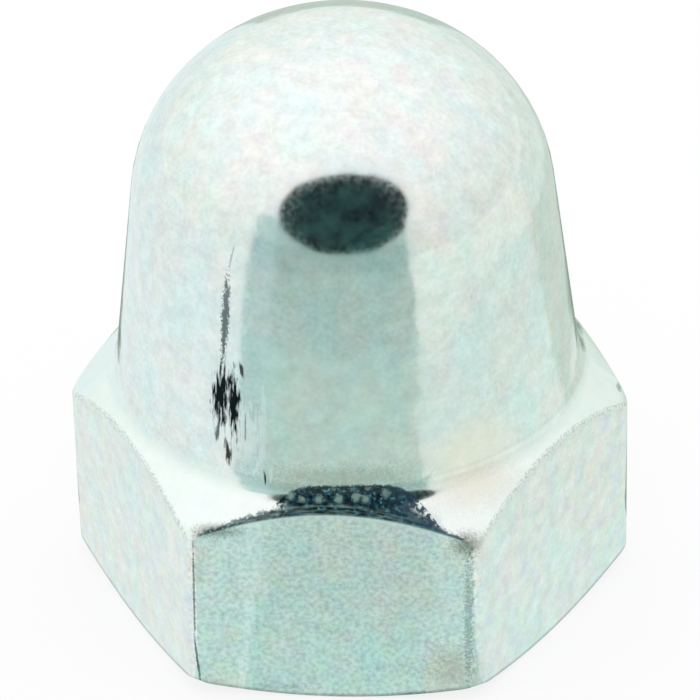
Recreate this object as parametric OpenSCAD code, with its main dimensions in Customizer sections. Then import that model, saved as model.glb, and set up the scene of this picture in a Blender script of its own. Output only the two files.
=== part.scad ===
// Cap nut: a hexagon nut closed by a dome, formed as one piece and tapped from below.
// Sizes are in millimetres. The bearing face lies on z = 0, the thread's axis is Z
// and one flat faces -Y. The hole is drawn at the thread's core diameter.

/* [Hexagon] */
// Width across flats
across_flats = 8; // [7:0.1:9]
// Height of the hexagon at the foot of the dome
hex_height = 3.85; // [3.5:0.05:4.5]
// Rounding radius of the six upright edges
edge_radius = 0.3; // [0.1:0.05:0.6]
// Slope of the chamfer below the dome, from level
top_chamfer_angle = 42; // [25:1:50]
// Slope of the chamfer at the bearing face, from level
bearing_chamfer_angle = 22; // [15:1:40]
// Height that the bearing chamfer takes off each corner
bearing_chamfer_height = 0.24; // [0.1:0.02:0.4]
// Rounding radius of the corners below the top chamfer
top_corner_radius = 0.6; // [0.2:0.05:0.8]
// Rounding radius of the corners above the bearing chamfer
bearing_corner_radius = 0.25; // [0.1:0.05:0.4]

/* [Dome] */
// Overall height, from the bearing face to the top of the dome
height = 10; // [9:0.1:12]
// Ledge between the flats and the foot of the dome
foot_ledge = 0.2; // [0.1:0.05:0.5]
// Taper of the dome's side, from upright
side_taper = 6.8; // [2:0.2:10]
// How much lower the crown is than a ball that touches the side
crown_flattening = 0.43; // [0.1:0.01:1]
// Radius of the crown's shoulder as a share of the crown's rise, nearer 1 for a flatter top
shoulder_share = 0.978; // [0.9:0.001:0.985]
// Radius of the fillet at the foot of the dome
foot_fillet = 0.6; // [0.2:0.05:0.8]

/* [Thread hole] */
// Bore of the hole, the core diameter of the 5 mm thread of 0.8 mm pitch
bore_d = 4.2; // [3.8:0.05:4.6]
// Thickness of the dome over the end of the hole, on the axis
crown_thickness = 2; // [1.2:0.1:3]
// Height of the blunt cone at the end of the hole
tip_height = 0.5; // [0.2:0.1:1]
// Radial width of the countersink at the bearing face
countersink_width = 0.6; // [0.2:0.05:0.9]
// Full angle of the countersink
countersink_angle = 90; // [60:5:120]

/* [Hidden] */
$fn = 144;

// Spare length of blanks and cutters past the faces that they make
spare = 1;
// Overlap that lets an arc cross the line or arc that it runs into cleanly
overlap = 0.0001;
// Angle by which the slices of the crown lap over each other
lap_angle = 5;

flat_r = across_flats / 2;
sharp_corner_r = flat_r / cos(30);
edge_centre_r = sharp_corner_r - edge_radius / cos(30);
corner_r = edge_centre_r + edge_radius;
blank_r = sharp_corner_r;

bearing_r = corner_r - bearing_chamfer_height / tan(bearing_chamfer_angle);
bearing_chamfer_z = (blank_r - bearing_r) * tan(bearing_chamfer_angle);

foot_r = flat_r - foot_ledge;
top_chamfer_z = hex_height - (blank_r - foot_r) * tan(top_chamfer_angle);

// The blank's outer corners are rounded where the chamfers run out
bearing_run = bearing_corner_radius * tan(45 - bearing_chamfer_angle / 2);
top_run = top_corner_radius * tan(45 - top_chamfer_angle / 2);

// The fillet touches the chamfer below it and the tapered side above it
fillet_reach = foot_fillet / tan(45 + (side_taper + top_chamfer_angle) / 2);
fillet_top = polar([foot_r, hex_height], fillet_reach, 90 + side_taper);
fillet_centre = polar(fillet_top, foot_fillet, side_taper);
fillet_foot = polar(fillet_centre, foot_fillet, 270 - top_chamfer_angle);

// The crown is a three-centred arch: its shoulder touches the side, and its top arc the shoulder
ball_r = (foot_r * cos(side_taper) - (height - hex_height) * sin(side_taper)) / (1 - sin(side_taper));
arch_rise = ball_r - crown_flattening;
arch_reach = ball_r - crown_flattening * sin(side_taper);
shoulder_r = shoulder_share * arch_rise;
shoulder_x = (arch_reach - shoulder_r) / cos(side_taper);
shoulder_centre = [shoulder_x, height - arch_rise];
side_top = polar(shoulder_centre, shoulder_r, side_taper);
top_r = (shoulder_x ^ 2 + arch_rise ^ 2 - shoulder_r ^ 2) / (2 * (arch_rise - shoulder_r));
top_centre = [0, height - top_r];
turn_angle = atan2(top_r - arch_rise, shoulder_x);

bore_r = bore_d / 2;
mouth_r = bore_r + countersink_width + spare * tan(countersink_angle / 2);
countersink_depth = countersink_width / tan(countersink_angle / 2);
tip_z = height - crown_thickness;
bore_end_z = tip_z - tip_height;

// Point at a distance from another, in the direction of an angle
function polar(from, distance, angle) = from + distance * [cos(angle), sin(angle)];

// Slice of a disc, between two angles less than 120 degrees apart
module slice(centre, radius, start, end) {
    middle = (start + end) / 2;
    reach = radius / cos((end - start) / 4) + spare;
    intersection() {
        translate(centre) circle(r = radius);
        polygon([centre, for (angle = [start, middle, end]) polar(centre, reach, angle)]);
    }
}

// Half section of the turned form: body with rounded corners, fillet at the dome's foot, rounded crown
module turned_profile() {
    difference() {
        polygon([
            [0, 0],
            [bearing_r, 0],
            polar([blank_r, bearing_chamfer_z], bearing_run, 180 + bearing_chamfer_angle),
            [blank_r, bearing_chamfer_z + bearing_run],
            [blank_r, top_chamfer_z - top_run],
            polar([blank_r, top_chamfer_z], top_run, 180 - top_chamfer_angle),
            fillet_foot,
            fillet_top,
            side_top,
            [0, side_top.y]
        ]);
        translate(fillet_centre) circle(r = foot_fillet + overlap);
    }
    translate([blank_r - bearing_corner_radius, bearing_chamfer_z + bearing_run])
        circle(r = bearing_corner_radius + overlap);
    translate([blank_r - top_corner_radius, top_chamfer_z - top_run]) circle(r = top_corner_radius + overlap);
    slice(shoulder_centre, shoulder_r + overlap, 0, turn_angle + lap_angle);
    slice(top_centre, top_r, turn_angle, 90);
}

// Outline of the hexagon with its rounded corners
module hexagon_outline() {
    turns = [for (i = [0 : 5]) 60 * i];
    polygon([
        for (turn = turns, side = [-30, 30])
            polar(polar([0, 0], edge_centre_r, turn), edge_radius, turn + side)
    ]);
    for (turn = turns) {
        translate(polar([0, 0], edge_centre_r, turn)) circle(r = edge_radius + overlap);
    }
}

// Half section of the hole: countersunk mouth, straight bore and blunt end
module hole_profile() {
    polygon([
        [0, -spare],
        [mouth_r, -spare],
        [bore_r, countersink_depth],
        [bore_r, bore_end_z],
        [0, tip_z]
    ]);
}

// The nut: the turned form with six flats, less the hole
module cap_nut() {
    color("silver")
    difference() {
        intersection() {
            translate([0, 0, -spare]) linear_extrude(height + 2 * spare) hexagon_outline();
            rotate_extrude() turned_profile();
        }
        rotate_extrude() hole_profile();
    }
}

cap_nut();
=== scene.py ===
# Cap nut: the visual model, its zinc finish, the studio round it and the camera
import math
from types import SimpleNamespace

import bmesh
import bpy
from mathutils import Matrix, Vector


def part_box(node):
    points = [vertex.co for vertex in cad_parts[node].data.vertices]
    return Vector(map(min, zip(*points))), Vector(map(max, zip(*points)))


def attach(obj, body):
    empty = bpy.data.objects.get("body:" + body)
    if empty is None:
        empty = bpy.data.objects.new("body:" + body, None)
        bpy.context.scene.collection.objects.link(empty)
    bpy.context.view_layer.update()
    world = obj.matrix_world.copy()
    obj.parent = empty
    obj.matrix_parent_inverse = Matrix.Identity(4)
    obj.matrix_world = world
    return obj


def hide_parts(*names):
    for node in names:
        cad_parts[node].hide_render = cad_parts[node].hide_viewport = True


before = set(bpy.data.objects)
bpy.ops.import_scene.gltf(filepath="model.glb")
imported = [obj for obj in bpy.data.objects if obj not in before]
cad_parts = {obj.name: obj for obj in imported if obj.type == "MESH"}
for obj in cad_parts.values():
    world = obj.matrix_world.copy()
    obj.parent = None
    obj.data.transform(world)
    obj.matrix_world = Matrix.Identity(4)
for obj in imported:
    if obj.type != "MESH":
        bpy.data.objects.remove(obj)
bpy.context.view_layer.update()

# Sizes in millimetres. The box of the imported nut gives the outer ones, which keep a hair inside it,
# and the rest repeat the part's source
MM = 0.001
low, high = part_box("cap_nut")
FIT = 0.99999
HEIGHT = FIT * (high.z - low.z) / MM
FLAT_R = FIT * (high.y - low.y) / 2 / MM
HALF_CORNER = math.radians(30)
EDGE_RADIUS = 0.3
SHARP_CORNER_R = FLAT_R / math.cos(HALF_CORNER)
CORNER_R = SHARP_CORNER_R - EDGE_RADIUS / math.cos(HALF_CORNER) + EDGE_RADIUS
HEX_HEIGHT = 3.85
TOP_CHAMFER = math.radians(42)
TOP_CORNER_RADIUS = 0.6
BEARING_CHAMFER = math.radians(22)
BEARING_CHAMFER_HEIGHT = 0.24
BEARING_CORNER_RADIUS = 0.25
BEARING_R = CORNER_R - BEARING_CHAMFER_HEIGHT / math.tan(BEARING_CHAMFER)
FOOT_LEDGE = 0.2
FOOT_R = FLAT_R - FOOT_LEDGE
FOOT_FILLET = 0.6
SIDE_TAPER = math.radians(6.8)
CROWN_FLATTENING = 0.43
SHOULDER_SHARE = 0.978
BORE_R = 2.1
CROWN_THICKNESS = 2.0
TIP_HEIGHT = 0.5
COUNTERSINK_WIDTH = 0.6

# The thread: 5 mm across, 0.8 mm pitch, 60 degree flanks
THREAD_R = 2.5
PITCH = 0.8
FLANK_LEAN = math.radians(30)
THREAD_ROOT_WIDTH = 0.1
THREAD_TURNS = 9
THREAD_START_Z = -0.9
TOOTH_OVERLAP = 0.1

# Small rounding that forming and plating leave on the sharp edges
SOFT_EDGE = 0.05
SHARP_ANGLE = math.radians(20)

# How finely the round forms are drawn, and which points count as one
ROUND_STEPS = 240
ARC_STEPS = 14
EDGE_STEPS = 10
SOFT_EDGE_STEPS = 3
THREAD_STEPS = 96
TURNED_MERGE = 1e-5
CUT_MERGE = 1e-4
SPARE = 1.0


def polar(start, distance, angle):
    """Point at a distance from another in the half section, in the direction of an angle."""
    return Vector((start[0] + distance * math.cos(angle), 0, start[2] + distance * math.sin(angle)))


def draw_line(bm, vert, point):
    """Draws a straight line of the half section on from a vertex, and returns its end."""
    end = bmesh.ops.extrude_vert_indiv(bm, verts=[vert])["verts"][0]
    end.co = point
    return end


def draw_arc(bm, vert, centre, angle):
    """Draws an arc of the half section on from a vertex, counter-clockwise for a positive angle."""
    turned = bmesh.ops.spin(bm, geom=[vert], cent=centre, axis=(0, -1, 0), angle=angle, steps=ARC_STEPS)
    return next(item for item in turned["geom_last"] if isinstance(item, bmesh.types.BMVert))


def turn_round(bm, steps=ROUND_STEPS):
    """Turns the drawn half section once round the axis."""
    geom = bm.verts[:] + bm.edges[:]
    bmesh.ops.spin(
        bm, geom=geom, axis=(0, 0, 1), cent=(0, 0, 0), angle=2 * math.pi, steps=steps, use_merge=True,
    )
    bmesh.ops.remove_doubles(bm, verts=bm.verts, dist=TURNED_MERGE)


def finish_shape(bm, name):
    """Closes and orients a shape and gives it an object of its own."""
    bmesh.ops.holes_fill(bm, edges=[e for e in bm.edges if e.is_boundary], sides=0)
    bmesh.ops.recalc_face_normals(bm, faces=bm.faces)
    mesh = bpy.data.meshes.new(name)
    bm.to_mesh(mesh)
    bm.free()
    shape = bpy.data.objects.new(name, mesh)
    bpy.context.scene.collection.objects.link(shape)
    return shape


def turned_blank():
    """The turned form: rounded crown, tapered side, fillet at the dome's foot and both chamfers."""
    fillet_reach = FOOT_FILLET / math.tan(math.pi / 4 + (SIDE_TAPER + TOP_CHAMFER) / 2)
    fillet_top = polar((FOOT_R, 0, HEX_HEIGHT), fillet_reach, math.pi / 2 + SIDE_TAPER)
    fillet_centre = polar(fillet_top, FOOT_FILLET, SIDE_TAPER)

    # The crown has two radii: its shoulder touches the side, and its top touches the shoulder
    sine = math.sin(SIDE_TAPER)
    ball_r = (FOOT_R * math.cos(SIDE_TAPER) - (HEIGHT - HEX_HEIGHT) * sine) / (1 - sine)
    rise = ball_r - CROWN_FLATTENING
    reach = ball_r - CROWN_FLATTENING * sine
    shoulder_r = SHOULDER_SHARE * rise
    shoulder_x = (reach - shoulder_r) / math.cos(SIDE_TAPER)
    top_r = (shoulder_x ** 2 + rise ** 2 - shoulder_r ** 2) / (2 * (rise - shoulder_r))
    turn = math.atan2(top_r - rise, shoulder_x)

    # The corners are rounded where the two chamfers run out
    top_corner_z = HEX_HEIGHT - (SHARP_CORNER_R - FOOT_R) * math.tan(TOP_CHAMFER)
    top_run = TOP_CORNER_RADIUS * math.tan(math.pi / 4 - TOP_CHAMFER / 2)
    top_start = polar((SHARP_CORNER_R, 0, top_corner_z), top_run, math.pi - TOP_CHAMFER)
    top_centre = (SHARP_CORNER_R - TOP_CORNER_RADIUS, 0, top_corner_z - top_run)
    bearing_corner_z = (SHARP_CORNER_R - BEARING_R) * math.tan(BEARING_CHAMFER)
    bearing_run = BEARING_CORNER_RADIUS * math.tan(math.pi / 4 - BEARING_CHAMFER / 2)
    bearing_start = (SHARP_CORNER_R, 0, bearing_corner_z + bearing_run)
    bearing_centre = (SHARP_CORNER_R - BEARING_CORNER_RADIUS, 0, bearing_corner_z + bearing_run)

    bm = bmesh.new()
    vert = bm.verts.new((0, 0, HEIGHT))
    vert = draw_arc(bm, vert, (0, 0, HEIGHT - top_r), turn - math.pi / 2)
    vert = draw_arc(bm, vert, (shoulder_x, 0, HEIGHT - rise), SIDE_TAPER - turn)
    vert = draw_line(bm, vert, fillet_top)
    vert = draw_arc(bm, vert, fillet_centre, math.pi / 2 - TOP_CHAMFER - SIDE_TAPER)
    vert = draw_line(bm, vert, top_start)
    vert = draw_arc(bm, vert, top_centre, TOP_CHAMFER - math.pi / 2)
    vert = draw_line(bm, vert, bearing_start)
    vert = draw_arc(bm, vert, bearing_centre, BEARING_CHAMFER - math.pi / 2)
    vert = draw_line(bm, vert, (BEARING_R, 0, 0))
    draw_line(bm, vert, (0, 0, 0))
    turn_round(bm)
    return finish_shape(bm, "turned_blank")


def hexagon_bar():
    """The hexagon with its rounded upright edges, longer than the nut at both ends."""
    bm = bmesh.new()
    bmesh.ops.create_circle(bm, cap_ends=True, segments=6, radius=SHARP_CORNER_R)
    bmesh.ops.rotate(bm, verts=bm.verts, cent=(0, 0, 0), matrix=Matrix.Rotation(HALF_CORNER, 3, "Z"))
    bmesh.ops.bevel(
        bm, geom=bm.verts[:], offset=EDGE_RADIUS * math.tan(HALF_CORNER), offset_type="OFFSET",
        segments=EDGE_STEPS, profile=0.5, affect="VERTICES", material=-1,
    )
    bmesh.ops.translate(bm, verts=bm.verts, vec=(0, 0, -SPARE))
    sides = bmesh.ops.extrude_face_region(bm, geom=bm.faces[:], use_keep_orig=True)["geom"]
    tops = [item for item in sides if isinstance(item, bmesh.types.BMVert)]
    bmesh.ops.translate(bm, verts=tops, vec=(0, 0, HEIGHT + 2 * SPARE))
    return finish_shape(bm, "hexagon_bar")


def drill():
    """What the drill and the countersink take out: wide mouth, straight bore and blunt end."""
    tip_z = HEIGHT - CROWN_THICKNESS
    bm = bmesh.new()
    vert = bm.verts.new((0, 0, -SPARE))
    vert = draw_line(bm, vert, (BORE_R + COUNTERSINK_WIDTH + SPARE, 0, -SPARE))
    vert = draw_line(bm, vert, (BORE_R, 0, COUNTERSINK_WIDTH))
    vert = draw_line(bm, vert, (BORE_R, 0, tip_z - TIP_HEIGHT))
    draw_line(bm, vert, (0, 0, tip_z))
    turn_round(bm, steps=THREAD_STEPS)
    return finish_shape(bm, "drill")


def tap():
    """What the tap takes out: one tooth, wound up the bore as a right-hand helix."""
    tooth_r = BORE_R - TOOTH_OVERLAP
    flank = (THREAD_R - tooth_r) * math.tan(FLANK_LEAN)
    bm = bmesh.new()
    first = bm.verts.new((tooth_r, 0, THREAD_START_Z))
    outer = draw_line(bm, first, (THREAD_R, 0, THREAD_START_Z + flank))
    outer = draw_line(bm, outer, (THREAD_R, 0, THREAD_START_Z + flank + THREAD_ROOT_WIDTH))
    last = draw_line(bm, outer, (tooth_r, 0, THREAD_START_Z + 2 * flank + THREAD_ROOT_WIDTH))
    bm.edges.new((last, first))
    geom = bm.verts[:] + bm.edges[:]
    bmesh.ops.spin(
        bm, geom=geom, axis=(0, 0, 1), cent=(0, 0, 0), dvec=(0, 0, PITCH / THREAD_STEPS),
        angle=2 * math.pi * THREAD_TURNS, steps=THREAD_STEPS * THREAD_TURNS,
    )
    return finish_shape(bm, "tap")


def cut(solid, tool, operation):
    """Keeps or takes away what a tool solid covers, and clears the tool."""
    step = solid.modifiers.new(operation, "BOOLEAN")
    step.object, step.operation, step.solver = tool, operation, "EXACT"
    shaped = bpy.data.meshes.new_from_object(solid.evaluated_get(bpy.context.evaluated_depsgraph_get()))
    solid.modifiers.clear()
    solid.data = shaped
    bpy.data.objects.remove(tool)


def soften_edges(bm):
    """Rounds the sharp edges outside the hole a little and shades the round forms smooth."""
    bmesh.ops.remove_doubles(bm, verts=bm.verts, dist=CUT_MERGE)
    hole_r = BORE_R + COUNTERSINK_WIDTH - SOFT_EDGE
    sharp = [
        edge for edge in bm.edges
        if edge.is_manifold and edge.calc_face_angle() > SHARP_ANGLE
        and min(vert.co.xy.length for vert in edge.verts) > hole_r
    ]
    bmesh.ops.bevel(
        bm, geom=sharp, offset=SOFT_EDGE, offset_type="OFFSET", segments=SOFT_EDGE_STEPS, profile=0.5,
        affect="EDGES", clamp_overlap=True, material=-1,
    )
    for face in bm.faces:
        face.smooth = True
    for edge in bm.edges:
        edge.smooth = edge.is_manifold and edge.calc_face_angle() < SHARP_ANGLE


def cap_nut():
    """The whole nut, made as a turner would: turned blank, six flats, drilled and tapped hole."""
    nut = turned_blank()
    cut(nut, hexagon_bar(), "INTERSECT")
    cut(nut, drill(), "DIFFERENCE")
    cut(nut, tap(), "DIFFERENCE")
    bm = bmesh.new()
    bm.from_mesh(nut.data)
    soften_edges(bm)
    bmesh.ops.scale(bm, vec=(MM, MM, MM), verts=bm.verts)
    bm.to_mesh(nut.data)
    bm.free()
    nut.name = nut.data.name = "zinc_plated_nut"
    normals = nut.modifiers.new("weighted_normals", "WEIGHTED_NORMAL")
    normals.keep_sharp = True
    return nut


def linear(hex_code):
    """Linear colour of an sRGB hex code."""
    values = [int(hex_code[i:i + 2], 16) / 255 for i in (0, 2, 4)]
    return (*[v / 12.92 if v <= 0.04045 else ((v + 0.055) / 1.055) ** 2.4 for v in values], 1)


def span(start, end, start_value=0.0, end_value=1.0):
    """Inputs of a Map Range: from start to end, its result runs from one value to the other."""
    return {"From Min": start, "From Max": end, "To Min": start_value, "To Max": end_value}


def add_node(tree, kind, inputs=None, stops=(), **settings):
    """Adds a node with its settings, the stops of its colour ramp, its input values and its links.

    A node given as input links its first output.
    """
    node = tree.nodes.new(kind)
    for name, value in settings.items():
        setattr(node, name, value)
    if stops:
        ramp = node.color_ramp.elements
        for position, colour in stops[1:-1]:
            ramp.new(position).color = linear(colour)
        for end in (0, -1):
            ramp[end].position = stops[end][0]
            ramp[end].color = linear(stops[end][1])
    for socket, value in (inputs or {}).items():
        if isinstance(value, bpy.types.Node):
            tree.links.new(value.outputs[0], node.inputs[socket])
        elif isinstance(value, bpy.types.NodeSocket):
            tree.links.new(value, node.inputs[socket])
        else:
            node.inputs[socket].default_value = value
    return node


def new_material(name):
    """An empty node material and its tree."""
    material = bpy.data.materials.new(name)
    material.use_nodes = True
    material.node_tree.nodes.clear()
    return material, material.node_tree


# Sockets of a Mix node: its two colours and their mix, and its two numbers and theirs
COLOUR_A, COLOUR_B, COLOUR_MIX = 6, 7, 2
NUMBER_A, NUMBER_B, NUMBER_MIX = 2, 3, 0
# Middle value of a noise
NOISE_MIDDLE = 0.5


def nut_places(tree):
    """Where a point of the nut lies, in millimetres and radians, with the front flat towards +Y."""
    place = add_node(tree, "ShaderNodeTexCoord").outputs["Object"]
    there = add_node(tree, "ShaderNodeMapping", {"Vector": place, "Scale": (1 / MM, -1 / MM, 1 / MM)})
    x, front, z = add_node(tree, "ShaderNodeSeparateXYZ", {"Vector": there}).outputs
    angle = add_node(tree, "ShaderNodeMath", {0: x, 1: front}, operation="ARCTAN2")
    level = add_node(tree, "ShaderNodeCombineXYZ", {"X": x, "Y": front})
    radius = add_node(tree, "ShaderNodeVectorMath", {0: level}, operation="LENGTH").outputs["Value"]
    # Height over the top chamfer, which is zero on it, grows up the fillet and falls down the flats
    slope = math.tan(TOP_CHAMFER)
    tread = add_node(tree, "ShaderNodeMath", {
        0: radius, 1: slope, 2: -HEX_HEIGHT - FOOT_R * slope,
    }, operation="MULTIPLY_ADD")
    over = add_node(tree, "ShaderNodeMath", {0: z, 1: tread}, operation="ADD")
    return SimpleNamespace(there=there, x=x, front=front, z=z, angle=angle, radius=radius, over=over)


# Patterns of the clean plating, in millimetres, and how strongly they show
CLOUD_WIDTH = 0.6
CLOUD_HEIGHT = 1.0
CLOUD_COLOURS = ((0.35, "E8F6F4"), (0.65, "F4F3F0"))
SPECKLE_WIDTH = 0.08
SPECKLE_STRENGTH = span(FLAT_R - 0.1, FLAT_R - 0.03, 0.25, 0.95)
SPOT_WIDTH = 0.25
SPOT_STRENGTH = 0.3
PATCH_WIDTH = 0.3
PATCH_STRENGTH = span(3.5, 4.2, 0.3, 0.12)
PLATING_LEVEL = 0.98
BRIGHT_CUT = span(0.16, 0.02, end_value=0.75)


def clean_plating(tree, at, speckle):
    """Colour of the clean plating: clouds of the passivation, speckle, and a chamfer that is cut bright."""
    # Clouds, pale cyan to pale pink, about half a millimetre wide
    tall = add_node(tree, "ShaderNodeMapping", {
        "Vector": at.there, "Scale": (1, 1, CLOUD_WIDTH / CLOUD_HEIGHT),
    })
    clouds = add_node(tree, "ShaderNodeTexNoise", {"Vector": tall, "Scale": 1 / CLOUD_WIDTH, "Detail": 5.0})
    tint = add_node(tree, "ShaderNodeValToRGB", {"Fac": clouds}, stops=CLOUD_COLOURS)

    # Speckle, strongest on the front flat, and dull spots a quarter of a millimetre wide
    strength = add_node(tree, "ShaderNodeMapRange", {"Value": at.front, **SPECKLE_STRENGTH})
    bright = add_node(tree, "ShaderNodeMath", {0: speckle, 1: NOISE_MIDDLE}, operation="SUBTRACT")
    bright = add_node(tree, "ShaderNodeMath", {0: bright, 1: strength}, operation="MULTIPLY")
    spots = add_node(tree, "ShaderNodeTexNoise", {
        "Vector": at.there, "Scale": 1 / SPOT_WIDTH, "Detail": 2.0,
    })
    dull = add_node(tree, "ShaderNodeMath", {
        0: spots, 1: -SPOT_STRENGTH, 2: SPOT_STRENGTH * NOISE_MIDDLE,
    }, operation="MULTIPLY_ADD")
    bright = add_node(tree, "ShaderNodeMath", {0: bright, 1: dull}, operation="ADD")

    # Small patches of colour, weaker on the dome than on the flats
    patches = add_node(tree, "ShaderNodeTexNoise", {
        "Vector": at.there, "Scale": 1 / PATCH_WIDTH, "Detail": 4.0,
    }).outputs["Color"]
    amount = add_node(tree, "ShaderNodeMapRange", {"Value": at.z, **PATCH_STRENGTH})
    patches = add_node(tree, "ShaderNodeVectorMath", {
        0: patches, 1: 3 * [NOISE_MIDDLE],
    }, operation="SUBTRACT")
    patches = add_node(tree, "ShaderNodeVectorMath", {0: patches, "Scale": amount}, operation="SCALE")
    patches = add_node(tree, "ShaderNodeVectorMath", {
        0: patches, 1: 3 * [PLATING_LEVEL],
    }, operation="ADD")
    grains = add_node(tree, "ShaderNodeVectorMath", {0: patches, 1: bright}, operation="ADD")
    metal = add_node(tree, "ShaderNodeVectorMath", {0: tint, 1: grains}, operation="MULTIPLY")

    # The chamfer below the dome is cut bright
    off = add_node(tree, "ShaderNodeMath", {0: at.over}, operation="ABSOLUTE")
    bare = add_node(tree, "ShaderNodeMapRange", {"Value": off, **BRIGHT_CUT})
    return add_node(tree, "ShaderNodeMix", {
        "Factor": bare, COLOUR_A: metal, COLOUR_B: linear("F4FDFA"),
    }, data_type="RGBA").outputs[COLOUR_MIX]


# Warm tints: middle to the right, to the front and up, half sizes the same way, colour and share
TINTS = [
    ((2.05, 3.05, 4.3), (0.7, 0.6, 0.4), "FFF4E4", 0.7),
]
# Soft stains, and a painted dark reflection down the dome's left outline, in the same form
STAINS_AND_SHADE = [
    ((1.9, 4.0, 0.6), (0.42, 0.3, 0.42), "D8C0A8", 0.45),
    ((1.4, 4.0, 0.06), (0.4, 0.2, 0.07), "807C70", 0.6),
    ((-0.9, 4.0, 0.18), (0.4, 0.2, 0.06), "B4A898", 0.35),
    # Darker brown-grey patches under both ends of the chamfer's arc
    ((-1.95, 4.0, 3.27), (0.42, 0.1, 0.1), "8C8474", 0.7),
    ((2.15, 4.0, 3.1), (0.22, 0.15, 0.2), "8C867A", 0.7),
    ((0.25, 3.7, 4.15), (1.2, 0.3, 0.2), "BCBEAC", 0.5),
    ((2.3, 3.3, 3.72), (0.75, 0.6, 0.22), "F8EEE6", 0.9),
    ((3.79, -0.67, 3.84), (0.1, 0.22, 0.08), "6C585C", 0.85),
    ((3.72, -1.3, 3.73), (0.08, 0.3, 0.1), "6C8078", 0.8),
    ((4.43, -0.18, 3.28), (0.06, 0.1, 0.04), "7C8C80", 0.7),
    # Painted dark reflection: a thin dark line down the dome's left outline
    ((-3.63, 0.7, 4.75), (0.03, 0.22, 0.16), "485450", 0.8),
    # A grey-green band down the dome's right outline
    ((3.62, 0.1, 5.3), (0.09, 0.22, 0.55), "8CA494", 0.85),
]
# Where a soft mark's rim starts and ends, in half sizes
MARK_RIM = 1.7
MARK_CORE = 0.5


def soft_mark(tree, metal, at, grit, spot, blend):
    """The metal's colour with one soft and gritty stain, tint or patch of painted shade on it."""
    middle, half_sizes, colour, share = spot
    away = add_node(tree, "ShaderNodeVectorMath", {0: at.there, 1: middle}, operation="SUBTRACT")
    away = add_node(tree, "ShaderNodeVectorMath", {0: away, 1: half_sizes}, operation="DIVIDE")
    reach = add_node(tree, "ShaderNodeVectorMath", {0: away}, operation="LENGTH").outputs["Value"]
    torn = add_node(tree, "ShaderNodeMath", {0: reach, 1: grit}, operation="ADD")
    mask = add_node(tree, "ShaderNodeMapRange", {
        "Value": torn, **span(MARK_RIM, MARK_CORE, end_value=share),
    })
    return add_node(tree, "ShaderNodeMix", {
        "Factor": mask, COLOUR_A: metal, COLOUR_B: linear(colour),
    }, data_type="RGBA", blend_type=blend).outputs[COLOUR_MIX]


# Black scuffs on the dome's left:
# angle from the front, lean in degrees per millimetre, middle height, half length, half width and darkness
SCUFFS = [
    (-28.9, 0.4, 5.3, 0.5, 0.15, 1.0),
    (-25.2, -0.8, 5.26, 0.52, 0.1, 1.0),
    (-26.4, -2.5, 4.36, 0.2, 0.06, 0.95),
    (-23.3, -4.0, 5.88, 0.12, 0.035, 0.9),
    (-29.4, 1.0, 4.7, 0.22, 0.03, 0.8),
    (-21.8, 0.0, 4.9, 0.22, 0.018, 0.5),
    (-16.3, -2.0, 4.06, 0.12, 0.022, 0.9),
]
# A grey streak above them, in the same form
STREAKS = [
    (-27.5, 1.9, 7.75, 0.2, 0.016, 0.4),
    (-28.4, 0.3, 6.75, 0.6, 0.065, 0.8),
    (-28.5, 0.4, 6.74, 0.16, 0.07, 0.82),
    (-28.5, 0.6, 6.5, 0.55, 0.038, 0.84),
]
# Pale scratches beside them, in the same form
SCRATCHES = [
    (-18.6, 4.3, 4.2, 0.14, 0.03, 0.8),
    (-21.9, 0.0, 4.7, 0.25, 0.02, 0.8),
    (-14.8, 0.8, 4.15, 0.2, 0.02, 0.6),
    (-22.0, 0.0, 4.75, 0.5, 0.25, 0.45),
    (-17.2, 0.0, 4.9, 0.8, 0.07, 0.4),
]
# Dark lines on the two upright edges in front, thin on the left and wide on the right, in the same form;
# the wide one is speckled wear with painted shade on the rounded edge
LEFT_EDGE_LINES = [
    (-29.35, 0.31, 2.05, 0.85, 0.013, 0.65),
    (-29.35, -1.0, 0.7, 0.4, 0.014, 0.75),
]
RIGHT_EDGE_WEAR_AND_SHADE = [
    (28.3, 0.1, 1.75, 1.1, 0.045, 0.3),
]
# Radius that widths are counted at, and the radius past which an upright edge starts
SCUFF_R = 3.55
EDGE_LINE_R = 4.42
# Where a scuff's rim starts and ends, in half sizes
SCUFF_RIM = 1.6
SCUFF_CORE = 1.0
# Upright tears of the scuffs, in millimetres, and how far they and the grit tear the edges of the streak
TEAR_WIDTH = 0.04
TEAR_LENGTH = 0.25
TEARS = span(0.3, 0.7, -0.2, 0.95)
STREAK_TEARS = 0.35
STREAK_GRIT = 0.5


def scuff(tree, at, ragged, mark):
    """Mask of one lens-shaped scuff that leans in degrees per millimetre and has a ragged edge."""
    middle, lean, height, half_length, half_width, darkness = mark
    slope = math.radians(lean)
    line = add_node(tree, "ShaderNodeMath", {
        0: at.z, 1: slope, 2: math.radians(middle) - slope * height,
    }, operation="MULTIPLY_ADD")
    off = add_node(tree, "ShaderNodeMath", {0: at.angle, 1: line}, operation="SUBTRACT")
    across = add_node(tree, "ShaderNodeMath", {0: off, 1: SCUFF_R / half_width}, operation="MULTIPLY")
    along = add_node(tree, "ShaderNodeMath", {
        0: at.z, 1: 1 / half_length, 2: -height / half_length,
    }, operation="MULTIPLY_ADD")
    both = add_node(tree, "ShaderNodeCombineXYZ", {"X": across, "Y": along})
    reach = add_node(tree, "ShaderNodeVectorMath", {0: both}, operation="LENGTH").outputs["Value"]
    torn = add_node(tree, "ShaderNodeMath", {0: reach, 1: ragged}, operation="ADD")
    return add_node(tree, "ShaderNodeMapRange", {
        "Value": torn, **span(SCUFF_RIM, SCUFF_CORE, end_value=darkness),
    })


def scuffs(tree, at, ragged, marks):
    """Mask of all the scuffs of a table."""
    mask = scuff(tree, at, ragged, marks[0])
    for mark in marks[1:]:
        another = scuff(tree, at, ragged, mark)
        mask = add_node(tree, "ShaderNodeMath", {0: mask, 1: another}, operation="MAXIMUM")
    return mask


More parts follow.
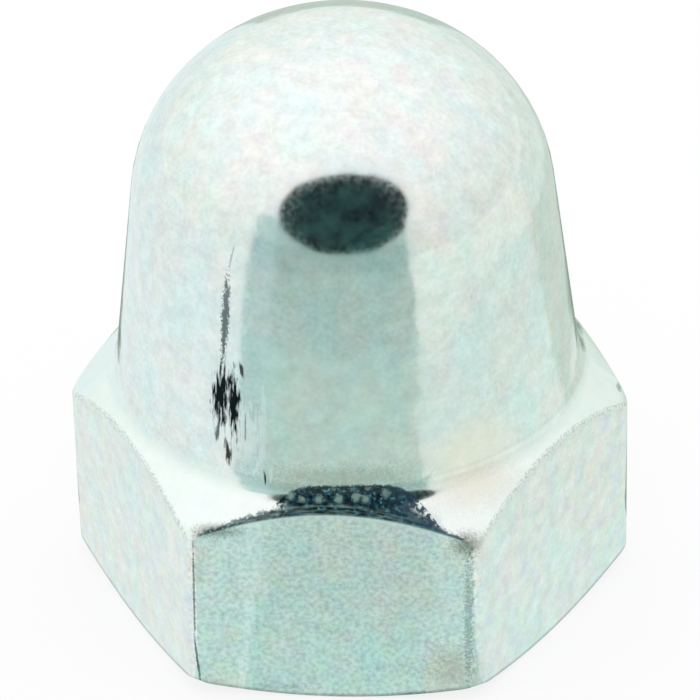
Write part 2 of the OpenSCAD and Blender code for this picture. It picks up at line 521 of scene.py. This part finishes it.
def scuff_marks(tree, at, grit, soft_grit):
    """Masks of the scratches, of the grey streak, and of the black scuffs and dark edge lines, the right
    one partly painted shade.
    """
    # Tears a few hundredths of a millimetre wide
    unrolled = add_node(tree, "ShaderNodeCombineXYZ", {"X": at.angle, "Z": at.z})
    drawn = add_node(tree, "ShaderNodeMapping", {
        "Vector": unrolled, "Scale": (SCUFF_R / TEAR_WIDTH, 1, 1 / TEAR_LENGTH),
    })
    tears = add_node(tree, "ShaderNodeTexNoise", {"Vector": drawn, "Scale": 1.0, "Detail": 3.0})
    ragged = add_node(tree, "ShaderNodeMapRange", {"Value": tears, **TEARS})
    scratched = scuffs(tree, at, ragged, SCRATCHES)

    streak_edge = add_node(tree, "ShaderNodeMath", {0: ragged, 1: STREAK_TEARS}, operation="MULTIPLY")
    streak_edge = add_node(tree, "ShaderNodeMath", {
        0: grit, 1: STREAK_GRIT, 2: streak_edge,
    }, operation="MULTIPLY_ADD")
    streaked = scuffs(tree, at, streak_edge, STREAKS)

    # Dark lines on the upright edges; the right one is partly painted shade
    edge_lines = add_node(tree, "ShaderNodeMath", {
        0: scuffs(tree, at, soft_grit, LEFT_EDGE_LINES), 1: scuffs(tree, at, grit, RIGHT_EDGE_WEAR_AND_SHADE),
    }, operation="MAXIMUM")
    outside = add_node(tree, "ShaderNodeMath", {0: at.radius, 1: EDGE_LINE_R}, operation="GREATER_THAN")
    edge_lines = add_node(tree, "ShaderNodeMath", {0: edge_lines, 1: outside}, operation="MULTIPLY")
    black = add_node(tree, "ShaderNodeMath", {
        0: scuffs(tree, at, ragged, SCUFFS), 1: edge_lines,
    }, operation="MAXIMUM")
    return scratched, streaked, black


# The brown line's place at the top edges of the two flats beside the front one, and its gaps
SIDE_FLAT = math.radians(60)
AT_SIDE_FLAT = span(FLAT_R - 0.04, FLAT_R - 0.02)
UNDER_CHAMFER = span(-0.2, -0.03)
BROWN_GAPS = span(0.42, 0.66, end_value=0.4)
# The grey line's height over the bearing chamfer: painted shadow of that chamfer along the foot of the
# flats
FOOT_SHADOW_LINE = span(0.071, 0.021, end_value=0.45)


def brown_line(tree, at, fine):
    """Mask of the broken brown line along the top edges of the flats on both sides of the front one."""
    aside = add_node(tree, "ShaderNodeMath", {0: at.x}, operation="ABSOLUTE")
    aside = add_node(tree, "ShaderNodeCombineXYZ", {"X": aside, "Y": at.front})
    outward = add_node(tree, "ShaderNodeVectorMath", {
        0: aside, 1: (math.sin(SIDE_FLAT), math.cos(SIDE_FLAT), 0),
    }, operation="DOT_PRODUCT").outputs["Value"]
    at_edge = add_node(tree, "ShaderNodeMapRange", {"Value": outward, **AT_SIDE_FLAT})
    high_up = add_node(tree, "ShaderNodeMapRange", {"Value": at.over, **UNDER_CHAMFER})
    gaps = add_node(tree, "ShaderNodeMapRange", {"Value": fine, **BROWN_GAPS})
    line = add_node(tree, "ShaderNodeMath", {0: at_edge, 1: high_up}, operation="MULTIPLY")
    return add_node(tree, "ShaderNodeMath", {0: line, 1: gaps}, operation="MULTIPLY")


def foot_shadow_line(tree, at):
    """Mask of the grey line, painted shadow, where the flats run into the chamfer of the bearing face."""
    slope = math.tan(BEARING_CHAMFER)
    rise = add_node(tree, "ShaderNodeMath", {
        0: at.radius, 1: -slope, 2: BEARING_R * slope,
    }, operation="MULTIPLY_ADD")
    rise = add_node(tree, "ShaderNodeMath", {0: rise, 1: at.z}, operation="ADD")
    return add_node(tree, "ShaderNodeMapRange", {"Value": rise, **FOOT_SHADOW_LINE})


# Where the grime and painted shade lie at the dome's foot: its middle and half width as angles in radians,
# how bluntly it ends there, its heights, and how far blots move its upper edge
GRIME_SHADE_MIDDLE = 0.065
GRIME_SHADE_HALF_ANGLE = 0.3
GRIME_SHADE_BLUNTNESS = 4.0
GRIME_SHADE_FOOT_Z = 3.7
GRIME_SHADE_HEIGHT = 0.36
GRIME_SHADE_RAGGED = 0.12
GRIME_SHADE_EDGE = span(0.0, 0.03, end_value=0.95)
GRIME_SHADE_FLECKS = span(0.54, 0.46)
GRIME_SHADE_WHOLE = span(0.9, 0.4)
GRIME_SHADE_ABOVE = span(-0.06, -0.02)
# Its thin rim along the top edge of the front flat, which narrows to both sides
RIM_WIDTH = 0.05
RIM_TAPER = 0.018
RIM_RAGGED = 0.15
RIM_EDGE = span(FLAT_R + 0.01, FLAT_R + 0.05, end_value=0.9)


def grime_and_shade_mask(tree, at, blots):
    """Where grime and painted shade fill the crease at the dome's foot and run along the top edge of the
    front flat.
    """
    side = add_node(tree, "ShaderNodeMath", {
        0: at.angle, 1: 1 / GRIME_SHADE_HALF_ANGLE, 2: -GRIME_SHADE_MIDDLE / GRIME_SHADE_HALF_ANGLE,
    }, operation="MULTIPLY_ADD")
    side = add_node(tree, "ShaderNodeMath", {0: side, 1: GRIME_SHADE_BLUNTNESS}, operation="POWER")
    top = add_node(tree, "ShaderNodeMath", {
        0: side, 1: -GRIME_SHADE_HEIGHT, 2: GRIME_SHADE_FOOT_Z + GRIME_SHADE_HEIGHT - GRIME_SHADE_RAGGED * NOISE_MIDDLE,
    }, operation="MULTIPLY_ADD")
    top = add_node(tree, "ShaderNodeMath", {0: blots, 1: GRIME_SHADE_RAGGED, 2: top}, operation="MULTIPLY_ADD")
    inside = add_node(tree, "ShaderNodeMath", {0: top, 1: at.z}, operation="SUBTRACT")
    crease = add_node(tree, "ShaderNodeMapRange", {"Value": inside, **GRIME_SHADE_EDGE})
    # Towards both ends the film is torn into flecks
    flecks = add_node(tree, "ShaderNodeMapRange", {"Value": blots, **GRIME_SHADE_FLECKS})
    whole = add_node(tree, "ShaderNodeMapRange", {"Value": side, **GRIME_SHADE_WHOLE})
    whole = add_node(tree, "ShaderNodeMath", {0: flecks, 1: whole}, operation="MAXIMUM")
    crease = add_node(tree, "ShaderNodeMath", {0: crease, 1: whole}, operation="MULTIPLY")

    taper = add_node(tree, "ShaderNodeMath", {0: at.x, 1: 2.0}, operation="POWER")
    width = add_node(tree, "ShaderNodeMath", {
        0: taper, 1: -RIM_TAPER, 2: RIM_WIDTH,
    }, operation="MULTIPLY_ADD")
    width = add_node(tree, "ShaderNodeMath", {0: blots, 1: RIM_RAGGED, 2: width}, operation="MULTIPLY_ADD")
    reach = add_node(tree, "ShaderNodeMath", {0: at.front, 1: width}, operation="ADD")
    rim = add_node(tree, "ShaderNodeMapRange", {"Value": reach, **RIM_EDGE})

    both = add_node(tree, "ShaderNodeMath", {0: crease, 1: rim}, operation="MAXIMUM")
    above = add_node(tree, "ShaderNodeMapRange", {"Value": at.over, **GRIME_SHADE_ABOVE})
    return add_node(tree, "ShaderNodeMath", {0: both, 1: above}, operation="MULTIPLY")


# The film's colours, grime and painted shade, from thick to thin, its blots, and the thin layers at its
# foot, in millimetres
GRIME_SHADE_COLOURS = ((0.38, "040A0E"), (0.5, "082834"), (0.6, "185460"), (0.72, "7CA298"))
BLOT_WIDTH = 0.07
LAYER_LENGTH = 0.3
LAYER_WIDTH = 0.03
LAYERS = span(0.44, 0.68, end_value=0.6)
LAYERED_FOOT = span(FLAT_R - 0.14, FLAT_R - 0.08)
# Angles between which it turns blue
BLUE_PART = span(0.2, 0.36, end_value=0.6)
# The row of blobs: its height, spacing and radius round the axis, its disorder and its edges
BLOB_Z = 3.89
BLOB_SPACING = 0.26
CREASE_R = 3.85
BLOB_DISORDER = 0.5
CELL_MIDDLE = 0.5
BLOB_RAGGED = 0.7
BLOBS = span(0.66, 0.5, end_value=0.8)
BLOB_ROW = span(0.13, 0.08)
BLOB_PART = span(0.3, 0.2)
GRIME_SHADE_ROUGHNESS = 0.7
GRIME_SHADE_SHINE = 0.12


def grime_shade_blobs(tree, at, blots):
    """Mask of the blobs in the film: one row only, and not on its blue part."""
    along = add_node(tree, "ShaderNodeMath", {
        0: at.angle, 1: CREASE_R / BLOB_SPACING,
    }, operation="MULTIPLY")
    up = add_node(tree, "ShaderNodeMath", {
        0: at.z, 1: 1 / BLOB_SPACING, 2: CELL_MIDDLE - BLOB_Z / BLOB_SPACING,
    }, operation="MULTIPLY_ADD")
    row = add_node(tree, "ShaderNodeCombineXYZ", {"X": along, "Y": up})
    cells = add_node(tree, "ShaderNodeTexVoronoi", {
        "Vector": row, "Scale": 1.0, "Randomness": BLOB_DISORDER,
    }, voronoi_dimensions="2D")
    torn = add_node(tree, "ShaderNodeMath", {
        0: blots, 1: BLOB_RAGGED, 2: cells.outputs["Distance"],
    }, operation="MULTIPLY_ADD")
    blobs = add_node(tree, "ShaderNodeMapRange", {"Value": torn, **BLOBS})
    off = add_node(tree, "ShaderNodeMath", {0: at.z, 1: BLOB_Z}, operation="SUBTRACT")
    off = add_node(tree, "ShaderNodeMath", {0: off}, operation="ABSOLUTE")
    in_row = add_node(tree, "ShaderNodeMapRange", {"Value": off, **BLOB_ROW})
    in_part = add_node(tree, "ShaderNodeMapRange", {"Value": at.angle, **BLOB_PART})
    blobs = add_node(tree, "ShaderNodeMath", {0: blobs, 1: in_row}, operation="MULTIPLY")
    return add_node(tree, "ShaderNodeMath", {0: blobs, 1: in_part}, operation="MULTIPLY")


def crease_grime_and_shade(tree, at, blots):
    """Old oil and dirt in the crease, with painted shade for its dark reflection: dull film, near black to
    teal and navy, with a row of blobs.
    """
    grime_shade_colour = add_node(tree, "ShaderNodeValToRGB", {"Fac": blots}, stops=GRIME_SHADE_COLOURS)
    # Its foot is paler, in thin layers along the edge of the flat
    layers = add_node(tree, "ShaderNodeCombineXYZ", {"X": at.x, "Y": at.front})
    layers = add_node(tree, "ShaderNodeMapping", {
        "Vector": layers, "Scale": (1 / LAYER_LENGTH, 1 / LAYER_WIDTH, 1),
    })
    layers = add_node(tree, "ShaderNodeTexNoise", {"Vector": layers, "Scale": 1.0, "Detail": 3.0})
    pale = add_node(tree, "ShaderNodeMapRange", {"Value": layers, **LAYERS})
    foot = add_node(tree, "ShaderNodeMapRange", {"Value": at.front, **LAYERED_FOOT})
    pale = add_node(tree, "ShaderNodeMath", {0: pale, 1: foot}, operation="MULTIPLY")
    # It turns bluer towards the right
    right = add_node(tree, "ShaderNodeMapRange", {"Value": at.angle, **BLUE_PART})
    coats = ((pale, "7C9C98"), (right, "305068"), (grime_shade_blobs(tree, at, blots), "84A096"))
    for mask, colour in coats:
        grime_shade_colour = add_node(tree, "ShaderNodeMix", {
            "Factor": mask, COLOUR_A: grime_shade_colour, COLOUR_B: linear(colour),
        }, data_type="RGBA").outputs[COLOUR_MIX]
    return add_node(tree, "ShaderNodeBsdfPrincipled", {
        "Base Color": grime_shade_colour, "Roughness": GRIME_SHADE_ROUGHNESS, "Specular IOR Level": GRIME_SHADE_SHINE,
    })


# Grit of the dirt and low waves of the surface, in millimetres, and the roughness of the metal
GRIT_WIDTH = 0.04
GRIT = span(0.35, 0.65, -0.4, 0.9)
SOFT_GRIT = 0.4
WAVE_WIDTH = 0.5
WAVE_HEIGHT = 0.02
WAVE_STRENGTH = 0.35
SATIN = span(0.35, 0.65, 0.1, 0.16)
SCRATCH_ROUGHNESS = 0.7


def zinc_plating():
    """Bright zinc plating on steel, passivated clear: satin metal with faint clouds, scuffed and grimy,
    with painted shade in the crease, down the dome's left outline, on the right upright edge and along the
    foot.
    """
    material, tree = new_material("bright_zinc_plating")
    at = nut_places(tree)
    # Crystal speckle of the zinc, really some hundredths of a millimetre, drawn a little coarser to show
    speckle = add_node(tree, "ShaderNodeTexNoise", {
        "Vector": at.there, "Scale": 1 / SPECKLE_WIDTH, "Detail": 4.0,
    })
    metal = clean_plating(tree, at, speckle)

    fine = add_node(tree, "ShaderNodeTexNoise", {
        "Vector": at.there, "Scale": 1 / GRIT_WIDTH, "Detail": 2.0,
    })
    grit = add_node(tree, "ShaderNodeMapRange", {"Value": fine, **GRIT})
    soft_grit = add_node(tree, "ShaderNodeMath", {0: grit, 1: SOFT_GRIT}, operation="MULTIPLY")
    for spot in TINTS:
        metal = soft_mark(tree, metal, at, soft_grit, spot, "MIX")
    # Stains, with a painted dark reflection down the dome's left outline
    for spot in STAINS_AND_SHADE:
        metal = soft_mark(tree, metal, at, soft_grit, spot, "MULTIPLY")

    scratched, streaked, black = scuff_marks(tree, at, grit, soft_grit)
    # Coats over the metal; the grey line at the foot is painted shadow
    coats = (
        (scratched, "FFFFFF"), (streaked, "2C4448"), (black, "141E1E"),
        (brown_line(tree, at, fine), "6C665A"), (foot_shadow_line(tree, at), "5C605A"),
    )
    for mask, colour in coats:
        metal = add_node(tree, "ShaderNodeMix", {
            "Factor": mask, COLOUR_A: metal, COLOUR_B: linear(colour),
        }, data_type="RGBA").outputs[COLOUR_MIX]

    satin = add_node(tree, "ShaderNodeMapRange", {"Value": speckle, **SATIN})
    satin = add_node(tree, "ShaderNodeMix", {
        "Factor": scratched, NUMBER_A: satin, NUMBER_B: SCRATCH_ROUGHNESS,
    }).outputs[NUMBER_MIX]
    waves = add_node(tree, "ShaderNodeTexNoise", {
        "Vector": at.there, "Scale": 1 / WAVE_WIDTH, "Detail": 1.0,
    })
    bumps = add_node(tree, "ShaderNodeBump", {
        "Height": waves, "Strength": WAVE_STRENGTH, "Distance": WAVE_HEIGHT * MM,
    })
    zinc = add_node(tree, "ShaderNodeBsdfPrincipled", {
        "Base Color": metal, "Metallic": 1.0, "Roughness": satin, "Normal": bumps,
    })

    blots = add_node(tree, "ShaderNodeTexNoise", {
        "Vector": at.there, "Scale": 1 / BLOT_WIDTH, "Detail": 4.0,
    })
    # In the crease a dull film of grime, with painted shade of its dark reflection, takes the metal's place
    surface = add_node(tree, "ShaderNodeMixShader", {
        0: grime_and_shade_mask(tree, at, blots), 1: zinc, 2: crease_grime_and_shade(tree, at, blots),
    })
    add_node(tree, "ShaderNodeOutputMaterial", {"Surface": surface})
    return material


# Share of plain white in the floor as the camera sees it. The rest of it shows the nut's soft shadow
CAMERA_GLOW = 0.8
FLOOR_HALF_SIZE = 5000.0
# The floor lies a hair under the nut, so that the two faces don't flicker
FLOOR_DROP = 0.01


def studio_floor():
    """A plain white floor that the nut stands on, and that the camera sees as a white ground."""
    bm = bmesh.new()
    bmesh.ops.create_grid(bm, x_segments=1, y_segments=1, size=FLOOR_HALF_SIZE * MM)
    bmesh.ops.translate(bm, verts=bm.verts, vec=(0, 0, -FLOOR_DROP * MM))
    floor = finish_shape(bm, "floor")
    material, tree = new_material("matt_white_card")
    card = add_node(tree, "ShaderNodeBsdfDiffuse", {"Color": linear("FFFFFF")})
    glow = add_node(tree, "ShaderNodeEmission", {"Color": linear("FFFFFF"), "Strength": 1.0})
    path = add_node(tree, "ShaderNodeLightPath")
    share = add_node(tree, "ShaderNodeMath", {
        0: path.outputs["Is Camera Ray"], 1: CAMERA_GLOW,
    }, operation="MULTIPLY")
    ground = add_node(tree, "ShaderNodeMixShader", {0: share, 1: card, 2: glow})
    add_node(tree, "ShaderNodeOutputMaterial", {"Surface": ground})
    floor.data.materials.append(material)


# The dark camera that the dome mirrors: where it is mirrored, its direction in degrees, distance and sizes,
# and its blotches
MIRROR_POINT = Vector((0, -2.9, 8.5))
LENS_AZIMUTH = 5.8
LENS_ELEVATION = 33.0
LENS_CARD_DISTANCE = 60.0
LENS_CARD_WIDTH = 82.5
LENS_CARD_HEIGHT = 57.5
LENS_STEPS = 64
BLOTCH_SIZE = 9.0
BLOTCH_START = 0.36
BLOTCH_END = 0.66

# Distances and heights of the mirrored grounds and of the grey stand in front, in millimetres
MAT_NEAR = 3.5
RIGHT_NEAR = 5.6
FOOT_END = 9.5
MAT_MIDDLE = 14.0
MAT_BEND = 18.0
MAT_FAR = 22.0
MAT_END = 400.0
STAND_DISTANCE = 80.0
STAND_MIDDLE = 22.0
STAND_HEIGHT = 44.0
MAT_LIFT = 0.02
UNDER_LIFT = 0.01
# Azimuths where they meet, in degrees from the front flat
FOOT_LEFT = -33.0
FOOT_RIGHT = 34.0
BAND_LEFT = -45.0
BAND_BLUE = -31.0
BAND_RIGHT = 37.5
NEAR_RIGHT = 33.8
SIDE_RIGHT = 112.0
BACK_RIGHT = 160.0
BACK_FAR = 172.0
BACK_LEFT = 195.0
QUARTER_TURN = 90.0
FULL_TURN = 360.0
CARD_STEPS = 24

# Cards that lie on the floor: name, near and far end, lift, azimuths that they lie between, and colour.
# In front a grey ground darkens up to a grey stand and is bluer on the left. The others are pale
# All these cards glow: painted light and shade of the ground that only the metal mirrors
FLOOR_CARDS = [
    ("front_foot_mat", MAT_NEAR, FOOT_END, MAT_LIFT, FOOT_LEFT, FOOT_RIGHT, "C8E0DA"),
    ("near_mat", FOOT_END, MAT_MIDDLE, MAT_LIFT, BAND_BLUE, NEAR_RIGHT, "C8E0DA"),
    ("middle_mat", MAT_MIDDLE, MAT_BEND, MAT_LIFT, BAND_BLUE, NEAR_RIGHT, "C0D6CE"),
    ("bent_mat", MAT_BEND, MAT_FAR, MAT_LIFT, BAND_BLUE, BAND_RIGHT, "C0D6CE"),
    ("far_mat", MAT_FAR, STAND_DISTANCE, MAT_LIFT, BAND_BLUE, BAND_RIGHT, "ADC4BE"),
    ("blue_near_mat", FOOT_END, MAT_MIDDLE, MAT_LIFT, BAND_LEFT, BAND_BLUE, "CCE6E6"),
    ("blue_far_mat", MAT_MIDDLE, STAND_DISTANCE, MAT_LIFT, BAND_LEFT, BAND_BLUE, "BBD3D0"),
    ("left_foot_mat", MAT_NEAR, FOOT_END, MAT_LIFT, BACK_LEFT - FULL_TURN, FOOT_LEFT, "ECF3F1"),
    ("left_mat", FOOT_END, MAT_END, MAT_LIFT, BACK_LEFT - FULL_TURN, BAND_LEFT, "ECF5F5"),
    ("right_near_mat", MAT_NEAR, RIGHT_NEAR, MAT_LIFT, FOOT_RIGHT, BACK_RIGHT, "E4F0EC"),
    ("right_foot_mat", RIGHT_NEAR, FOOT_END, MAT_LIFT, FOOT_RIGHT, BACK_RIGHT, "E6EEE9"),
    ("right_mat", FOOT_END, MAT_MIDDLE, MAT_LIFT, NEAR_RIGHT, SIDE_RIGHT, "E4F1EB"),
    ("right_middle_mat", MAT_MIDDLE, MAT_FAR, UNDER_LIFT, NEAR_RIGHT, SIDE_RIGHT, "DEEBE6"),
    ("right_far_mat", MAT_FAR, MAT_END, MAT_LIFT, BAND_RIGHT, SIDE_RIGHT, "EAF3EC"),
    ("right_back_mat", FOOT_END, MAT_FAR, MAT_LIFT, SIDE_RIGHT, BACK_RIGHT, "D2DED4"),
    ("right_back_far_mat", MAT_FAR, MAT_END, MAT_LIFT, SIDE_RIGHT, BACK_FAR, "E2ECE5"),
    ("back_mat", MAT_NEAR, MAT_FAR, MAT_LIFT, BACK_RIGHT, BACK_LEFT, "C6D2C8"),
    ("back_far_mat", MAT_FAR, MAT_END, MAT_LIFT, BACK_FAR, BACK_LEFT, "C6D2C8"),
]
# Cards of the stand: name, lower and upper end, azimuths and colour
STAND_CARDS = [
    ("grey_stand", MAT_LIFT, STAND_MIDDLE, BAND_BLUE, BAND_RIGHT, "A1BBB5"),
    ("grey_stand_top", STAND_MIDDLE, STAND_HEIGHT, BAND_BLUE, BAND_RIGHT, "AEC6C2"),
    ("blue_stand", MAT_LIFT, STAND_MIDDLE, BAND_LEFT, BAND_BLUE, "B2CDCC"),
    ("blue_stand_top", STAND_MIDDLE, STAND_HEIGHT, BAND_LEFT, BAND_BLUE, "C0D7D5"),
]
# Ends of straight strips on the floor, in millimetres, and their lifts: all lie over the cards, and the
# shorter ones over the longer
STRIP_LEFT = -1.5
STRIP_RIGHT = 1.38
PALE_STRIP_LEFT = -1.62
STRIP_FRONT = -FLAT_R - 7.0
SOFT_STRIP_FRONT = -FLAT_R - 2.3
CYAN_STRIP_FRONT = -FLAT_R - 1.3
OUTLINE_LEFT = -5.3
OUTLINE_RIGHT = 5.7
OUTLINE_NEAR = 1.0
OUTLINE_END = 14.0
FAR_LEFT = -6.9
FAR_LEFT_NEAR = 5.0
STRIP_LIFT = 2 * MAT_LIFT
SOFT_STRIP_LIFT = 3 * MAT_LIFT
CYAN_STRIP_LIFT = 4 * MAT_LIFT

# The strips: name, ends to the left and right, to the front and back, lift and colour. Those in front show
# in the front flat, and the dark ones behind show only as the dome's thin outline
STRIPS = [
    ("dim_strip", STRIP_LEFT, STRIP_RIGHT, STRIP_FRONT, -FLAT_R, STRIP_LIFT, "BFD4CE"),
    ("soft_strip", STRIP_LEFT, STRIP_RIGHT, SOFT_STRIP_FRONT, -FLAT_R, SOFT_STRIP_LIFT, "BFD9D3"),
    ("cyan_strip", STRIP_LEFT, STRIP_RIGHT, CYAN_STRIP_FRONT, -FLAT_R, CYAN_STRIP_LIFT, "BFDDD8"),
    ("pale_strip", PALE_STRIP_LEFT, STRIP_LEFT, STRIP_FRONT, -FLAT_R, STRIP_LIFT, "D8ECE6"),
    ("outline_strip", OUTLINE_LEFT, OUTLINE_RIGHT, OUTLINE_NEAR, OUTLINE_END, STRIP_LIFT, "90A296"),
    ("left_outline_strip", FAR_LEFT, OUTLINE_LEFT, FAR_LEFT_NEAR, OUTLINE_END, STRIP_LIFT, "90A296"),
]


def direction(azimuth, elevation):
    """Unit vector towards an azimuth, counted from the front flat, and an elevation, both in degrees."""
    azimuth, elevation = math.radians(azimuth), math.radians(elevation)
    level = math.cos(elevation)
    return Vector((math.sin(azimuth) * level, -math.cos(azimuth) * level, math.sin(elevation)))


def stage_card(name, bm, colour, blotch=None):
    """A card that glows with its colour at strength 1, painted light that is only seen in the metal, plain
    or with blotches of a second colour.
    """
    bmesh.ops.scale(bm, vec=(MM, MM, MM), verts=bm.verts)
    card = finish_shape(bm, name)
    material, tree = new_material(name)
    paint = linear(colour)
    if blotch:
        place = add_node(tree, "ShaderNodeTexCoord").outputs["Object"]
        blots = add_node(tree, "ShaderNodeTexNoise", {
            "Vector": place, "Scale": 1 / (BLOTCH_SIZE * MM), "Detail": 3.0,
        })
        stops = ((BLOTCH_START, colour), (BLOTCH_END, blotch))
        paint = add_node(tree, "ShaderNodeValToRGB", {"Fac": blots}, stops=stops)
    shader = add_node(tree, "ShaderNodeEmission", {"Color": paint, "Strength": 1.0})
    add_node(tree, "ShaderNodeOutputMaterial", {"Surface": shader})
    card.data.materials.append(material)
    card.visible_camera = card.visible_diffuse = card.visible_shadow = False


def lens_card():
    """The dark oval card in place of the camera."""
    toward = direction(LENS_AZIMUTH, LENS_ELEVATION)
    turn = toward.to_track_quat("Z", "Y").to_matrix()
    bm = bmesh.new()
    bmesh.ops.create_circle(bm, cap_ends=True, segments=LENS_STEPS, radius=1)
    bmesh.ops.scale(bm, verts=bm.verts, vec=(LENS_CARD_WIDTH / 2, LENS_CARD_HEIGHT / 2, 1))
    bmesh.ops.rotate(bm, verts=bm.verts, cent=(0, 0, 0), matrix=turn)
    bmesh.ops.translate(bm, verts=bm.verts, vec=MIRROR_POINT + toward * LENS_CARD_DISTANCE)
    stage_card("dark_camera", bm, "0A121C", "284C4A")


def round_card(name, start, end, azimuth_from, azimuth_to, colour):
    """A card that stands or lies round the nut between two azimuths, turned from a line of its section."""
    bm = bmesh.new()
    vert = bm.verts.new(start)
    draw_line(bm, vert, end)
    turn = Matrix.Rotation(math.radians(azimuth_from - QUARTER_TURN), 3, "Z")
    bmesh.ops.rotate(bm, verts=bm.verts, cent=(0, 0, 0), matrix=turn)
    bmesh.ops.spin(
        bm, geom=bm.verts[:] + bm.edges[:], axis=(0, 0, 1), cent=(0, 0, 0),
        angle=math.radians(azimuth_to - azimuth_from), steps=CARD_STEPS,
    )
    stage_card(name, bm, colour)


def strip_card(name, x_from, x_to, y_from, y_to, lift, colour):
    """A straight strip of card on the floor."""
    bm = bmesh.new()
    bmesh.ops.create_grid(bm, x_segments=1, y_segments=1, size=0.5)
    bmesh.ops.scale(bm, verts=bm.verts, vec=(x_to - x_from, y_to - y_from, 1))
    bmesh.ops.translate(bm, verts=bm.verts, vec=((x_from + x_to) / 2, (y_from + y_to) / 2, lift))
    stage_card(name, bm, colour)


def stage_cards():
    """What the metal mirrors besides the light tent: the dark camera, the stand and the grounds."""
    lens_card()
    for name, near, far, lift, azimuth_from, azimuth_to, colour in FLOOR_CARDS:
        round_card(name, (near, 0, lift), (far, 0, lift), azimuth_from, azimuth_to, colour)
    for name, lower, upper, azimuth_from, azimuth_to, colour in STAND_CARDS:
        start, end = (STAND_DISTANCE, 0, lower), (STAND_DISTANCE, 0, upper)
        round_card(name, start, end, azimuth_from, azimuth_to, colour)
    for strip in STRIPS:
        strip_card(*strip)


# Brightness of the tent, how it grows to the right, to the back and upwards, and its cloth's colour upwards
TENT_LEVEL = 0.9
TENT_SLOPE = (-0.05, 0.05, 0.17)
TENT_COLOURS = ((0.0, "F4FCF7"), (0.75, "FFFFFF"))


def studio_light():
    """Soft light from all round, as inside a light tent, a little brighter from above and from the left."""
    world = bpy.data.worlds.new("light_tent")
    world.use_nodes = True
    tree = world.node_tree
    tree.nodes.clear()
    toward = add_node(tree, "ShaderNodeTexCoord").outputs["Generated"]
    slope = add_node(tree, "ShaderNodeVectorMath", {
        0: toward, 1: TENT_SLOPE,
    }, operation="DOT_PRODUCT").outputs["Value"]
    level = add_node(tree, "ShaderNodeMath", {0: slope, 1: TENT_LEVEL}, operation="ADD")
    up = add_node(tree, "ShaderNodeSeparateXYZ", {"Vector": toward}).outputs["Z"]
    cloth = add_node(tree, "ShaderNodeValToRGB", {"Fac": up}, stops=TENT_COLOURS)
    light = add_node(tree, "ShaderNodeBackground", {"Color": cloth, "Strength": level})
    add_node(tree, "ShaderNodeOutputWorld", {"Surface": light})
    bpy.context.scene.world = world


# The photograph's viewpoint, worked out from the nut's outline and edges, in degrees and millimetres
CAMERA_AZIMUTH = 4.72
CAMERA_ELEVATION = 34.46
CAMERA_ROLL = -1.63
CAMERA_DISTANCE = 88.2
CAMERA_NEAR = 1.0
CAMERA_FAR = 100000.0
AIM_HEIGHT = 4.044
LENS = 277.9
SENSOR = 36.0
SHIFT_X = 0.0037


def place_camera():
    """The camera at the photograph's viewing angle."""
    data = bpy.data.cameras.new("camera")
    data.lens, data.sensor_width, data.shift_x = LENS, SENSOR, SHIFT_X
    data.clip_start, data.clip_end = CAMERA_NEAR * MM, CAMERA_FAR * MM
    camera = bpy.data.objects.new("camera", data)
    back = direction(CAMERA_AZIMUTH, CAMERA_ELEVATION)
    right = direction(CAMERA_AZIMUTH + QUARTER_TURN, 0)
    roll = Matrix.Rotation(math.radians(CAMERA_ROLL), 3, "Z")
    pose = (Matrix((right, back.cross(right), back)).transposed() @ roll).to_4x4()
    pose.translation = (Vector((0, 0, AIM_HEIGHT)) + back * CAMERA_DISTANCE) * MM
    camera.matrix_world = pose
    bpy.context.scene.collection.objects.link(camera)
    bpy.context.scene.camera = camera


nut = cap_nut()
nut.data.materials.clear()
nut.data.materials.append(zinc_plating())
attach(nut, "root")
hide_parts("cap_nut")

studio_floor()
stage_cards()
studio_light()
place_camera()
bpy.context.scene.view_settings.view_transform = "Standard"
